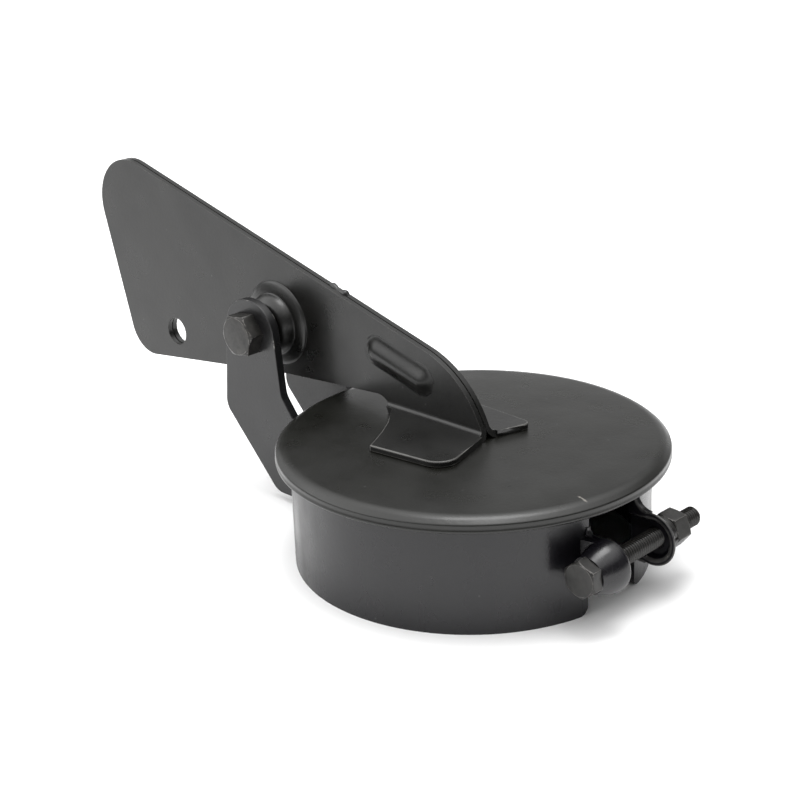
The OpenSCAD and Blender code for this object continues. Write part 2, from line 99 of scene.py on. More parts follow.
def sharp_edges(form):
    """Edges that bend by more than the steps of a curve do."""
    return [edge for edge in form.edges if bend_at(edge) > 28]


edge_r = 0.0003


def round_edges(form, edges, radius, segments=2, short_edges_bound=True):
    """Rounds the edges over, and marks the new faces, where paint wears first and gets a painted
    sheen.
    """
    rubbed_and_sheen_layer = form.faces.layers.float.get("edge_rub_and_sheen") or form.faces.layers.float.new("edge_rub_and_sheen")
    eased = bmesh.ops.bevel(
        form, geom=edges, offset=radius, offset_type="OFFSET", segments=segments,
        profile=0.5, affect="EDGES", clamp_overlap=short_edges_bound)
    for face in eased["faces"]:
        face[rubbed_and_sheen_layer] = 1


def off_axis(vert, axis):
    """The way from an axis along Y straight out to the point."""
    return Vector((vert.co.x - axis.x, 0, vert.co.z - axis.z))


def piece_of(name, form, smooth=True):
    bmesh.ops.recalc_face_normals(form, faces=form.faces)
    for face in form.faces:
        face.smooth = smooth
    mesh = bpy.data.meshes.new(name)
    form.to_mesh(mesh)
    form.free()
    return bpy.data.objects.new(name, mesh)


def flat_sided_piece(name, form):
    """A piece whose flat sides stay flat in the light, up to their rounded edges."""
    piece = piece_of(name, form)
    shading = piece.modifiers.new("flat_sides", "WEIGHTED_NORMAL")
    shading.weight = 90
    return piece


class Wiring:
    """Puts shader nodes into a material and joins them."""

    def __init__(self, name):
        self.material = bpy.data.materials.new(name)
        self.material.use_nodes = True
        self.tree = self.material.node_tree
        self.shader = self.tree.nodes["Principled BSDF"]
        self.place = self.tree.nodes.new("ShaderNodeTexCoord").outputs["Object"]

    def node(self, kind, inputs=None, **settings):
        made = self.tree.nodes.new(kind)
        for key, value in settings.items():
            setattr(made, key, value)
        for key, value in (inputs or {}).items():
            if isinstance(value, bpy.types.NodeSocket):
                self.tree.links.new(value, made.inputs[key])
            else:
                made.inputs[key].default_value = value
        return made

    def grain(self, per_metre, detail=2.0, rough=0.5, stretch=None):
        place = self.place
        if stretch:
            place = self.node("ShaderNodeMapping", {
                "Vector": place, "Scale": stretch}).outputs["Vector"]
        return self.node("ShaderNodeTexNoise", {
            "Vector": place, "Scale": per_metre, "Detail": detail,
            "Roughness": rough}).outputs["Fac"]

    def span(self, value, low, high, to_low=0.0, to_high=1.0):
        return self.node("ShaderNodeMapRange", {
            "Value": value, "From Min": low, "From Max": high,
            "To Min": to_low, "To Max": to_high}).outputs["Result"]

    def maths(self, operation, a, b):
        return self.node("ShaderNodeMath", {0: a, 1: b}, operation=operation).outputs["Value"]

    def from_axis(self, axis):
        """Distance from an axis along Y."""
        parts = self.node("ShaderNodeSeparateXYZ", {"Vector": self.place})
        dx = self.maths("SUBTRACT", parts.outputs["X"], axis.x)
        dz = self.maths("SUBTRACT", parts.outputs["Z"], axis.z)
        return self.maths("SQRT", self.maths(
            "ADD", self.maths("MULTIPLY", dx, dx), self.maths("MULTIPLY", dz, dz)), 0)

    def tones(self, value, *stops):
        ramp = self.node("ShaderNodeValToRGB", {"Fac": value})
        band = ramp.color_ramp
        while len(band.elements) < len(stops):
            band.elements.new(1)
        for element, (at, colour) in zip(band.elements, stops):
            element.position = at
            element.color = (*colour, 1)
        return ramp.outputs["Color"]

    def blend(self, how_much, under, over):
        mixed = self.node("ShaderNodeMix", {"Factor": how_much}, data_type="RGBA")
        for socket, value in ((mixed.inputs[6], under), (mixed.inputs[7], over)):
            if isinstance(value, bpy.types.NodeSocket):
                self.tree.links.new(value, socket)
            else:
                socket.default_value = (*value, 1)
        return mixed.outputs[2]

    def relief(self, height, strength, depth, below=None):
        inputs = {"Height": height, "Strength": strength, "Distance": depth}
        if below:
            inputs["Normal"] = below
        return self.node("ShaderNodeBump", inputs).outputs["Normal"]

    def finish(self, colour, rough, normal):
        self.tree.links.new(colour, self.shader.inputs["Base Color"])
        self.tree.links.new(rough, self.shader.inputs["Roughness"])
        self.tree.links.new(normal, self.shader.inputs["Normal"])
        return self.material


dust = (0.09, 0.09, 0.09)
thin_paint_and_sheen = (0.2, 0.196, 0.185)
bare_steel = (0.26, 0.255, 0.24)


def satin_black_paint(name, dark, light, rough_low, rough_high, streaks=0.0, edge_sheen_and_wear=0.0,
                      marks=None):
    """Dipped satin paint: cloudy in tone, with a fine orange peel, a slight wave in the sheet,
    dust specks, and small shiny nicks along the edges. A setting per piece lightens all the
    rounded edges, partly as paint rubbed down and partly as a painted sheen along them, and
    marks() may add a piece's own scars."""
    paint = Wiring(name)
    paint.shader.inputs["IOR"].default_value = 1.5
    cloud = paint.grain(38, detail=4, rough=0.55)
    colour = paint.tones(cloud, (0.35, dark), (0.68, light))
    speck = paint.span(paint.grain(1400, detail=2, rough=0.7), 0.3, 0.7, 0, 0.5)
    colour = paint.blend(speck, colour, light)
    rough = paint.span(paint.grain(85, detail=3), 0.35, 0.65, rough_low, rough_high)
    if streaks:
        run = paint.grain(150, stretch=(1, 1, 0.06))
        colour = paint.blend(paint.span(run, 0.45, 0.7, 0, streaks), colour, light)
        rough = paint.maths("ADD", rough, paint.span(run, 0.4, 0.7, -0.03, 0.05))

    speckle = paint.node("ShaderNodeTexVoronoi", {"Vector": paint.place, "Scale": 130.0})
    dusty = paint.maths(
        "MULTIPLY", paint.span(speckle.outputs["Distance"], 0.06, 0.03),
        paint.span(speckle.outputs["Color"], 0.66, 0.68))
    colour = paint.blend(paint.maths("MULTIPLY", dusty, 0.35), colour, dust)

    edge = paint.node("ShaderNodeAttribute", attribute_name="edge_rub_and_sheen").outputs["Fac"]
    nicked = paint.maths(
        "MULTIPLY", edge, paint.span(paint.grain(260, detail=4, rough=0.65), 0.6, 0.66))
    # Lightens all rounded edges towards grey: partly paint rubbed down, partly a painted sheen
    # where the edges would catch the light.
    if edge_sheen_and_wear:
        thinned_and_sheen = paint.span(
            paint.grain(120, detail=3, rough=0.6), 0.35, 0.65, edge_sheen_and_wear * 0.4, edge_sheen_and_wear)
        colour = paint.blend(paint.maths("MULTIPLY", edge, thinned_and_sheen), colour, thin_paint_and_sheen)
    colour = paint.blend(paint.maths("MULTIPLY", nicked, 0.8), colour, bare_steel)

    wave = paint.relief(paint.grain(40), strength=0.25, depth=0.0008)
    peel = paint.relief(
        paint.grain(850, detail=3, rough=0.6), strength=0.6, depth=0.00005, below=wave)
    if marks:
        colour, rough, peel = marks(paint, colour, rough, peel)
    return paint.finish(colour, rough, peel)


crease_from_x = 0.0525
crease_near_y, crease_far_y = 0.0113, 0.0195
crease_r = 0.0009
rim_edge_r = 0.0007

bolt_low, bolt_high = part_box("clamp_bolt")
cup_axis = Vector(((bolt_low.x + bolt_high.x) / 2, 0, (bolt_low.z + bolt_high.z) / 2))
cup_rim_y, cup_rim_r = -0.010, 0.0079
cup_end_y, cup_end_r = -0.0197, 0.0055
cup_slack = 0.0001
cup_bulge = 0.0009
cup_cuts = 8
bulge_from_x, bulge_fade = -0.005, 0.004


def is_ear_crease(edge):
    """True where a cup runs into the band or into its own neck, on the outer side."""
    middle = (edge.verts[0].co + edge.verts[1].co) / 2
    return (middle.x > crease_from_x and crease_near_y < abs(middle.y) < crease_far_y
            and bend_at(edge) > 14)


def is_cup_rim(edge):
    """True on the open rims of both ears, which lie equally far from the middle."""
    return all(vert.co.x > cup_axis.x - cup_rim_r
               and abs(abs(vert.co.y) + cup_rim_y) < cup_slack for vert in edge.verts)


form = solid_of("collar")
creases = [edge for edge in form.edges if is_ear_crease(edge)]
bmesh.ops.bevel(
    form, geom=creases, offset=crease_r, offset_type="OFFSET", segments=4, profile=0.5,
    affect="EDGES", clamp_overlap=True)

# The front cup is cut into rings and swells between them, but not where it joins its neck.
for cut in range(1, cup_cuts):
    y = cup_rim_y + (cup_end_y - cup_rim_y) * cut / cup_cuts
    cup = [face for face in form.faces if all(
        vert.co.y < cup_rim_y + cup_slack
        and off_axis(vert, cup_axis).length < cup_rim_r + cup_slack for vert in face.verts)]
    edges = {edge for face in cup for edge in face.edges}
    verts = {vert for face in cup for vert in face.verts}
    bmesh.ops.bisect_plane(form, geom=cup + list(edges) + list(verts), dist=1e-6,
                           plane_co=(0, y, 0), plane_no=(0, 1, 0))
for vert in form.verts:
    depth = (vert.co.y - cup_rim_y) / (cup_end_y - cup_rim_y)
    outward = off_axis(vert, cup_axis)
    cone_r = cup_rim_r + (cup_end_r - cup_rim_r) * depth
    if 0 < depth < 1 and abs(outward.length - cone_r) < cup_slack:
        free = max(0, min(1, (outward.x - bulge_from_x) / bulge_fade))
        vert.co += outward.normalized() * (cup_bulge * free * math.sin(math.pi * depth ** 0.8))

round_edges(form, [edge for edge in sharp_edges(form) if not is_cup_rim(edge)], edge_r)
round_edges(form, [edge for edge in sharp_edges(form) if is_cup_rim(edge)], rim_edge_r,
            segments=3, short_edges_bound=False)
collar = flat_sided_piece("collar_band", form)
# The collar's rounded edges are lightened, partly as rubbed paint and partly as painted sheen.
collar.data.materials.append(satin_black_paint(
    "collar_paint", dark=(0.0024, 0.0022, 0.0034), light=(0.0050, 0.0046, 0.0062),
    rough_low=0.25, rough_high=0.33, streaks=0.35, edge_sheen_and_wear=0.3))
put_in_scene(collar, "base")
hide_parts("collar")

# ---- Hinge brackets ----
# Two plates of 3 mm steel, cut to shape and drilled for the pivot bolt. They stand upright on
# the back of the collar, one on each side of the lever, and take the same coat of paint.
bracket_edge_r = 0.0004
bracket_paint = satin_black_paint(
    "bracket_paint", dark=(0.005, 0.005, 0.0055), light=(0.009, 0.009, 0.0095),
    rough_low=0.27, rough_high=0.35)
for side in ("front", "rear"):
    form = solid_of("bracket_" + side)
    round_edges(form, sharp_edges(form), bracket_edge_r, segments=3)
    bracket = flat_sided_piece("bracket_plate_" + side, form)
    bracket.data.materials.append(bracket_paint)
    put_in_scene(bracket, "base")
    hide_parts("bracket_" + side)

# ---- Bracket welds ----
# Each bracket is welded down both of its faces to the collar. The bead is laid by hand, so it
# swells and narrows, shows the ripple of each puddle, and is painted over with the rest.
weld_paint = satin_black_paint(
    "weld_paint", dark=(0.003, 0.003, 0.003), light=(0.008, 0.008, 0.008),
    rough_low=0.24, rough_high=0.36)


def skin(form, rings):
    """Joins each ring of points to the next one."""
    for ring, following in zip(rings, rings[1:]):
        count = len(ring)
        for k in range(count):
            form.faces.new((
                ring[k], following[k], following[(k + 1) % count], ring[(k + 1) % count]))


def bead_tube(form, path, radii, sides=14):
    """A closed tube of weld metal along path, with its own radius at each point."""
    rings = []
    for i, (centre, radius) in enumerate(zip(path, radii)):
        ahead = path[min(i + 1, len(path) - 1)] - path[max(i - 1, 0)]
        along = ahead.normalized()
        across = along.cross(Vector((0.3, 0.9, 0.1))).normalized()
        upward = across.cross(along)
        angles = [2 * math.pi * k / sides for k in range(sides)]
        rings.append([form.verts.new(centre + radius * (
            across * math.cos(angle) + upward * math.sin(angle))) for angle in angles])
    skin(form, rings)
    form.faces.new(rings[0])
    form.faces.new(list(reversed(rings[-1])))


def bead_piece(name, beads, sides=14):
    form = bmesh.new()
    for path, radii in beads:
        bead_tube(form, path, radii, sides)
    return piece_of(name, form)


bead_r = 0.00135
ripple_h = 0.00022
puddle_len = 0.0016
bead_in = 0.0004
bead_steps = 60
hand = random.Random(4)
for side in ("front", "rear"):
    low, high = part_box("bracket_weld_" + side)
    plate_low, plate_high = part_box("bracket_" + side)
    collar_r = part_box("collar")[1].y
    beads = []
    for face_y, outward in ((plate_low.y, -1), (plate_high.y, 1)):
        corner_x = -math.sqrt(collar_r ** 2 - face_y ** 2)
        start = hand.uniform(0, 1)
        path, radii = [], []
        for i in range(bead_steps + 1):
            share = i / bead_steps
            z = low.z + 0.0006 + share * (high.z - low.z - 0.0012)
            ripple = abs(math.sin(math.pi * ((z - low.z) / puddle_len + start)))
            sway = noise.noise(Vector((0, face_y * 90, z * 260)))
            taper = min(1, math.sin(math.pi * min(1, 0.06 + share)) * 3.2)
            path.append(Vector((
                corner_x - bead_in + 0.0002 * sway, face_y + outward * bead_in, z)))
            radii.append((bead_r + ripple_h * ripple + 0.0003 * sway) * max(taper, 0.35))
        beads.append((path, radii))
    bead = bead_piece("bracket_bead_" + side, beads)
    bead.data.materials.append(weld_paint)
    put_in_scene(bead, "base")
    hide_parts("bracket_weld_" + side)

# ---- Lid ----
# A shallow cap drawn from 1.5 mm steel sheet. The press leaves a flat top, a tight shoulder and
# a short skirt whose lower edge is rolled to a thin bead. One scrape on its front is bare steel.
lid_low, lid_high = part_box("lid")
lid_x = (lid_low.x + lid_high.x) / 2
lid_r = (lid_high.x - lid_low.x) / 2
lid_t = 0.0015
shoulder_drop = 0.0018
lid_turns = 256

arch = [(math.sin(a), math.cos(a)) for a in (math.radians(10 * i) for i in range(10))]
skirt_top = lid_high.z - shoulder_drop
outer = [(r, lid_high.z) for r in (0, 0.012, 0.024, 0.036, 0.046, lid_r - 0.0042)]
outer += [(lid_r - 0.0035, lid_high.z - 0.00004), (lid_r - 0.0022, lid_high.z - 0.0003),
          (lid_r - 0.0013, lid_high.z - 0.00085)]
outer += [(lid_r - 0.0009 + 0.0008 * s, skirt_top - 0.0004 + 0.0008 * c) for s, c in arch[3:]]
outer += [(lid_r - 0.00022, lid_low.z + 0.0017), (lid_r - 0.0002, lid_low.z + 0.0012),
          (lid_r - 0.00006, lid_low.z + 0.0009), (lid_r, lid_low.z + 0.0006),
          (lid_r - 0.00008, lid_low.z + 0.00025), (lid_r - 0.0004, lid_low.z)]
inner = [(lid_r - lid_t + 0.0003, lid_low.z), (lid_r - lid_t, lid_low.z + 0.0003),
         (lid_r - lid_t, skirt_top - 0.0008),
         (lid_r - lid_t - 0.0003, lid_high.z - lid_t - 0.0006),
         (lid_r - lid_t - 0.0012, lid_high.z - lid_t),
         (0.03, lid_high.z - lid_t), (0, lid_high.z - lid_t)]


def lathe(name, profile, turns, middle):
    """Turns a closed (radius, height) profile about the upright line through middle."""
    form = bmesh.new()
    rings = []
    for r, z in profile:
        if r == 0:
            rings.append([form.verts.new((middle.x, middle.y, z))])
        else:
            rings.append([form.verts.new((
                middle.x + r * math.cos(2 * math.pi * k / turns),
                middle.y + r * math.sin(2 * math.pi * k / turns), z)) for k in range(turns)])
    for ring, following in zip(rings, rings[1:]):
        for k in range(turns):
            corners = [ring[k % len(ring)], ring[(k + 1) % turns % len(ring)],
                       following[(k + 1) % turns % len(following)], following[k % len(following)]]
            form.faces.new(list(dict.fromkeys(corners)))
    return piece_of(name, form)


scrape_start, scrape_end = Vector((0.0528, -0.0149, 0)), Vector((0.0569, -0.0157, 0))
scrape_half = 0.00042
scraped_steel = (0.16, 0.15, 0.135)


def lid_scrape(paint, colour, rough, normal):
    """A short ragged scrape near the front of the rim, dented a little into the paint."""
    run = (scrape_end - scrape_start).normalized()
    half_len = (scrape_end - scrape_start).length / 2
    parts = paint.node("ShaderNodeSeparateXYZ", {"Vector": paint.place})
    x = paint.maths("SUBTRACT", parts.outputs["X"], scrape_start.x)
    y = paint.maths("SUBTRACT", parts.outputs["Y"], scrape_start.y)
    along = paint.maths(
        "ADD", paint.maths("MULTIPLY", x, run.x), paint.maths("MULTIPLY", y, run.y))
    across = paint.maths(
        "SUBTRACT", paint.maths("MULTIPLY", y, run.x), paint.maths("MULTIPLY", x, run.y))
    ragged = paint.span(paint.grain(900, detail=3, rough=0.7), 0.3, 0.7, -0.00025, 0.00025)
    off_line = paint.maths("ABSOLUTE", paint.maths("ADD", across, ragged), 0)
    off_middle = paint.maths("ABSOLUTE", paint.maths("SUBTRACT", along, half_len), 0)
    scrape = paint.maths(
        "MULTIPLY", paint.span(off_line, scrape_half, 0.0001),
        paint.span(off_middle, half_len, half_len - 0.0008))
    colour = paint.blend(scrape, colour, scraped_steel)
    return colour, rough, paint.relief(scrape, strength=-0.5, depth=0.0002, below=normal)


lid = lathe("lid_cap", outer + inner, lid_turns, Vector((lid_x, 0, 0)))
lid.data.materials.append(satin_black_paint(
    "lid_paint", dark=(0.0030, 0.0031, 0.0022), light=(0.0056, 0.0057, 0.0044),
    rough_low=0.27, rough_high=0.34, marks=lid_scrape))
put_in_scene(lid, "flap")
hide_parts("lid")

# ---- Lever plates ----
# Two 2 mm plates lie back to back and make the weighted lever. Each has a pressed boss for the
# pivot, a stiffening rib, and a foot that is folded out and spot welded to the lid.
sleeve_low, sleeve_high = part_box("pivot_sleeve")
pivot = Vector(((sleeve_low.x + sleeve_high.x) / 2, 0, (sleeve_low.z + sleeve_high.z) / 2))
plate_t = 0.002
feet_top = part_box("lid")[1].z + plate_t + 0.0018
seam_gap = 0.00022
seam_depth = 0.0013

on_face = 1e-5
foot_edge_r = 0.00045

# Radius and height over the plate, from the boss's outline up to its mouth.
boss_r = 0.0144
boss_rows = [
    (boss_r, 0), (0.0143, 0.0003), (0.01405, 0.00065), (0.0136, 0.00095),
    (0.0129, 0.00125), (0.0120, 0.0016), (0.0111, 0.0019), (0.0107, 0.00195),
    (0.01045, 0.0021), (0.0103, 0.0026), (0.0101, 0.0032), (0.0097, 0.0040),
    (0.0091, 0.0048), (0.0084, 0.0055), (0.0079, 0.0059), (0.0074, 0.0060)]
rib_half = 0.0055
rib_outline = 0.0053
rib_h = 0.0021
rib_ridge_drop = 0.0007
rib_top_reach = 0.06
rib_points = 120
rib_rings = 20


def boundary_loops(form):
    """The open edges of the form, gathered into separate loops."""
    left = {edge for edge in form.edges if edge.is_boundary}
    loops = []
    while left:
        loop = [left.pop()]
        ends = set(loop[0].verts)
        while True:
            more = [edge for edge in left if edge.verts[0] in ends or edge.verts[1] in ends]
            if not more:
                break
            loop += more
            left -= set(more)
            ends = {vert for edge in more for vert in edge.verts}
        loops.append(loop)
    return loops


def finer_loop(form, loop):
    """Halves each edge of an open loop, and gives back the loop's new, shorter edges."""
    split = bmesh.ops.subdivide_edges(form, edges=loop, cuts=1)["geom_split"]
    return [item for item in split if isinstance(item, bmesh.types.BMEdge) and item.is_boundary]


def press_boss(form, loop, side):
    """Raises the pivot boss from the loop, one row at a time, and gives back its last row."""
    row = loop
    for count, (reach, height) in enumerate(boss_rows):
        moved = {vert for edge in row for vert in edge.verts}
        if count:
            made = bmesh.ops.extrude_edge_only(form, edges=row)["geom"]
            moved = {item for item in made if isinstance(item, bmesh.types.BMVert)}
            row = [item for item in made if isinstance(item, bmesh.types.BMEdge) and
                   item.verts[0] in moved and item.verts[1] in moved]
        for vert in moved:
            vert.co = pivot + off_axis(vert, pivot).normalized() * reach
            vert.co.y = side * (plate_t + height)
    return row


def rib_ring(form, start, end, side, inward):
    """One closed ring of the rib, from its outline at inward 0 to its ridge at inward 1. The
    upper flank starts a little more softly than the lower one, and the ridge lies slightly low."""
    run = end - start
    along = run.normalized()
    above = Vector((-along.z, 0, along.x))
    round_end = math.pi * rib_half
    reach = rib_outline * (1 - inward)
    ring = []
    for i in range(rib_points):
        gone = 2 * (run.length + round_end) * i / rib_points
        if gone < run.length:
            share, turned = gone / run.length, math.pi / 2
        elif gone < run.length + round_end:
            share, turned = 1, math.pi / 2 - (gone - run.length) / rib_half
        elif gone < 2 * run.length + round_end:
            share, turned = 1 - (gone - run.length - round_end) / run.length, -math.pi / 2
        else:
            share, turned = 0, -math.pi / 2 - (gone - 2 * run.length - round_end) / rib_half
        outward = along * math.cos(turned) + above * math.sin(turned)
        spot = start + run * share + outward * reach - above * (rib_ridge_drop * inward)
        swell = inward ** (0.95 + 0.1 * math.sin(turned))
        spot.y = side * (plate_t + rib_h * (0.5 - 0.5 * math.cos(math.pi * swell)))
        ring.append(form.verts.new(spot))
    return ring


def press_rib(form, loop, side):
    """Closes the loop with the rib, one ring at a time up to its ridge."""
    verts = list({vert for edge in loop for vert in edge.verts})
    tips = max(((a.co, b.co) for a in verts for b in verts),
               key=lambda pair: (pair[0] - pair[1]).length)
    rear, front = sorted((Vector((tip.x, 0, tip.z)) for tip in tips), key=lambda tip: tip.x)
    along = (front - rear).normalized()
    start, end = rear + along * rib_half, front - along * rib_half
    outline = rib_ring(form, start, end, side, 0)
    edges = [form.edges.new((outline[i - 1], outline[i])) for i in range(rib_points)]
    bmesh.ops.bridge_loops(form, edges=loop + edges)
    for step in range(1, rib_rings + 1):
        inside = rib_ring(form, start, end, side, step / rib_rings * (1 - rib_top_reach))
        for i in range(rib_points):
            form.faces.new((outline[i - 1], outline[i], inside[i], inside[i - 1]))
        outline = inside
    form.faces.new(outline)


def lever_plate(name, node, side):
    """One plate of the lever. Its boss and rib are cut out of the solid and pressed anew in soft
    forms, and the edge of its inner face is eased, so that a dark seam shows between the two."""
    form = solid_of(node)
    pressed = [
        face for face in form.faces
        if all(vert.co.y * side > plate_t - on_face and vert.co.z > feet_top
               for vert in face.verts)
        and any(vert.co.y * side > plate_t + on_face for vert in face.verts)
        and face.normal.y * side > 0.05]
    bmesh.ops.delete(form, geom=pressed, context="FACES")
    inner = [face for face in form.faces if all(abs(vert.co.y) < on_face for vert in face.verts)]
    lip = bmesh.ops.inset_region(
        form, faces=inner, thickness=seam_depth, use_even_offset=True)["faces"]
    kept = {vert for face in inner for vert in face.verts}
    for vert in {vert for face in lip for vert in face.verts} - kept:
        vert.co.y = side * seam_gap
    foot_edges = [edge for edge in sharp_edges(form) if all(
        abs(vert.co.y) > plate_t * 2.5 and vert.co.z < feet_top for vert in edge.verts)]
    round_edges(form, foot_edges, foot_edge_r, segments=3, short_edges_bound=False)
    round_edges(form, sharp_edges(form), edge_r, segments=3)

    for loop in boundary_loops(form):
        reach = max(off_axis(vert, pivot).length for edge in loop for vert in edge.verts)
        if reach < boss_r * 0.8:
            sleeve_hole = loop
        elif reach < boss_r * 1.05:
            boss_loop = loop
        else:
            rib_loop = loop
    last = press_boss(form, finer_loop(form, boss_loop), side)
    bmesh.ops.bridge_loops(form, edges=last + sleeve_hole)
    press_rib(form, rib_loop, side)
    bmesh.ops.recalc_face_normals(form, faces=form.faces)
    bmesh.ops.remove_doubles(form, verts=form.verts, dist=1e-6)
    return flat_sided_piece(name, form)


pits = ((Vector((-0.1597, 0, 0.0809)), 0.0006), (Vector((-0.1523, 0, 0.0906)), 0.0005),
        (Vector((-0.136, 0, 0.061)), 0.0004))
pit_grey = (0.006, 0.006, 0.006)


def lever_pits(paint, colour, rough, normal):
    """A few small pits that grit left in the wet paint near the tail."""
    for place, r in pits:
        pit = paint.span(paint.from_axis(place), r, r * 0.5)
        colour = paint.blend(pit, colour, pit_grey)
        normal = paint.relief(pit, strength=-0.6, depth=0.0003, below=normal)
    return colour, rough, normal


# The lever's rounded edges are lightened more, partly as rubbed paint and partly as painted sheen.
lever_paint = satin_black_paint(
    "lever_paint", dark=(0.0042, 0.0042, 0.0038), light=(0.0074, 0.0074, 0.0068),
    rough_low=0.27, rough_high=0.35, edge_sheen_and_wear=0.45, marks=lever_pits)
for side, outward in (("front", -1), ("rear", 1)):
    plate = lever_plate("lever_" + side, "lever_plate_" + side, outward)
    plate.data.materials.append(lever_paint)
    put_in_scene(plate, "flap")
    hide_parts("lever_plate_" + side)

# ---- Seam tack ----
# One short weld on the lever's upper edge ties the two plates together. It froze in two lumps,
# the front one higher, and was painted with the lever.
tack_low, tack_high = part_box("seam_tack")
tack_steps = 40
tack_r = 0.0014
tack_in = 0.0004
slope = math.tan(math.radians(15.9))
tack_len = tack_high.x - tack_low.x
path, radii = [], []
for i in range(tack_steps + 1):
    share = i / tack_steps
    x = tack_low.x + tack_in + share * (tack_len - 2 * tack_in)
    seam_z = tack_high.z - 0.0013 - slope * share * tack_len
    rear_lump = 0.32 * math.exp(-((share - 0.3) / 0.16) ** 2)
    front_lump = 0.55 * math.exp(-((share - 0.76) / 0.13) ** 2)
    grit = 0.12 * noise.noise(Vector((share * 9, 3.1, 0.4)))
    end_taper = min(1, 3.5 * min(share, 1 - share) + 0.25)
    y = (tack_low.y + tack_high.y) / 2 + 0.0002 * math.sin(9 * share)
    path.append(Vector((x, y, seam_z)))
    radii.append(tack_r * (0.55 + rear_lump + front_lump + grit) * end_taper)
tack = bead_piece("seam_weld", [(path, radii)], sides=18)
tack.data.materials.append(weld_paint)
put_in_scene(tack, "flap")
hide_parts("seam_tack")

# ---- Pivot sleeve ----
# A turned steel tube is welded into both bosses and turns on the pivot bolt. It takes a
# slightly glossier coat of the satin black paint.
form = solid_of("pivot_sleeve")
round_edges(form, sharp_edges(form), edge_r)
sleeve = flat_sided_piece("sleeve_tube", form)
sleeve.data.materials.append(satin_black_paint(
    "sleeve_paint", dark=(0.003, 0.003, 0.003), light=(0.006, 0.006, 0.006),
    rough_low=0.2, rough_high=0.3))
put_in_scene(sleeve, "flap")
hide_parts("pivot_sleeve")

# ---- Pivot bolt, nut and washers ----
# A forged hexagon bolt with a rolled thread, its nut, and two flat washers on each side of the
# lever. All are steel with a black oxide finish, a little brown and rubbed lighter on the edges.
rubbed_oxide = (0.2, 0.19, 0.18)
crest_highlight = (0.07, 0.067, 0.063)
groove_shade = (0.002, 0.002, 0.002)


def black_oxide(name, rough_low, rough_high, turned_about=None, thread=None):
    """Blackened steel: dark, slightly brown, finely scratched and brighter where rubbed.
    A thread, given by its axis and its root and crest radii, gets painted shade in its grooves and
    a painted highlight on its crests."""
    steel = Wiring(name)
    steel.shader.inputs["Metallic"].default_value = 0.25
    steel.shader.inputs["IOR"].default_value = 1.55
    cloud = steel.grain(260, detail=4, rough=0.6)
    colour = steel.tones(cloud, (0.35, (0.010, 0.0096, 0.009)), (0.6, (0.021, 0.020, 0.018)),
                         (0.78, (0.045, 0.041, 0.037)))
    edge = steel.node("ShaderNodeAttribute", attribute_name="edge_rub_and_sheen").outputs["Fac"]
    rubbed = steel.maths(
        "MULTIPLY", edge, steel.span(steel.grain(500, detail=3, rough=0.6), 0.42, 0.62))
    colour = steel.blend(steel.maths("MULTIPLY", rubbed, 0.6), colour, rubbed_oxide)
    rough = steel.span(
        steel.grain(700, detail=3, rough=0.6), 0.35, 0.65, rough_low, rough_high)
    pitted = steel.relief(
        steel.grain(1300, detail=3, rough=0.6), strength=0.5, depth=0.00005)
    # The thread's grooves are darkened as painted shade and its crests lightened as a painted
    # highlight.
    if thread:
        axis, root_r, crest_r = thread
        crest = steel.span(steel.from_axis(axis), root_r, crest_r)
        colour = steel.blend(crest, groove_shade, steel.blend(0.25, colour, crest_highlight))
    if turned_about:
        centred = steel.node("ShaderNodeMapping", {
            "Vector": steel.place, "Location": (-turned_about.x, 0, -turned_about.z)})
        grooves = steel.node("ShaderNodeTexWave", {
            "Vector": centred.outputs["Vector"],
            "Scale": 900.0, "Distortion": 1.5, "Detail": 2.0},
            wave_type="RINGS", rings_direction="Y").outputs["Fac"]
        pitted = steel.relief(grooves, strength=0.2, depth=0.00006, below=pitted)
    return steel.finish(colour, rough, pitted)


forged_edge_r = 0.00018


def hexagon_piece(name, x, z, af, y0, y1, turn, bore_r, chamfered, sides_per_flat=10):
    """A hexagon, af across its flats. Ends named in chamfered have their corners turned off."""
    form = bmesh.new()
    face_r = af * 0.475
    corner_r = af / math.sqrt(3)
    rise = (corner_r - face_r) * math.tan(math.radians(30))
    angles = [turn + math.pi / 3 * (i // sides_per_flat + i % sides_per_flat / sides_per_flat)
              for i in range(6 * sides_per_flat)]

    def flat_r(angle):
        return af / 2 / math.cos((angle - turn) % (math.pi / 3) - math.pi / 6)

    def cone_r(end, share):
        return face_r + (corner_r - face_r) * share if end in chamfered else corner_r

    steps = [0, 0.25, 0.5, 0.75, 1]
    rows = [(y0 + rise * share, cone_r("low", share)) for share in steps]
    rows += [(y1 - rise * share, cone_r("high", share)) for share in reversed(steps)]
    rings = []
    for y, limit in rows:
        ring = []
        for angle in angles:
            r = min(flat_r(angle), limit)
            ring.append(form.verts.new((x + r * math.cos(angle), y, z + r * math.sin(angle))))
        rings.append(ring)
    caps = []
    for y in (y0, y1):
        r = bore_r if bore_r else af * 0.02
        caps.append([form.verts.new((x + r * math.cos(angle), y, z + r * math.sin(angle)))
                     for angle in angles])
    rings = [caps[0]] + rings + [caps[1]]
    if bore_r:
        skin(form, rings + rings[:1])
    else:
        skin(form, rings)
        form.faces.new(list(reversed(rings[0])))
        form.faces.new(rings[-1])
    bmesh.ops.recalc_face_normals(form, faces=form.faces)
    round_edges(form, [edge for edge in form.edges if bend_at(edge) > 22], forged_edge_r)
    piece = piece_of(name, form)
    piece.data.set_sharp_from_angle(angle=math.radians(30))
    return piece


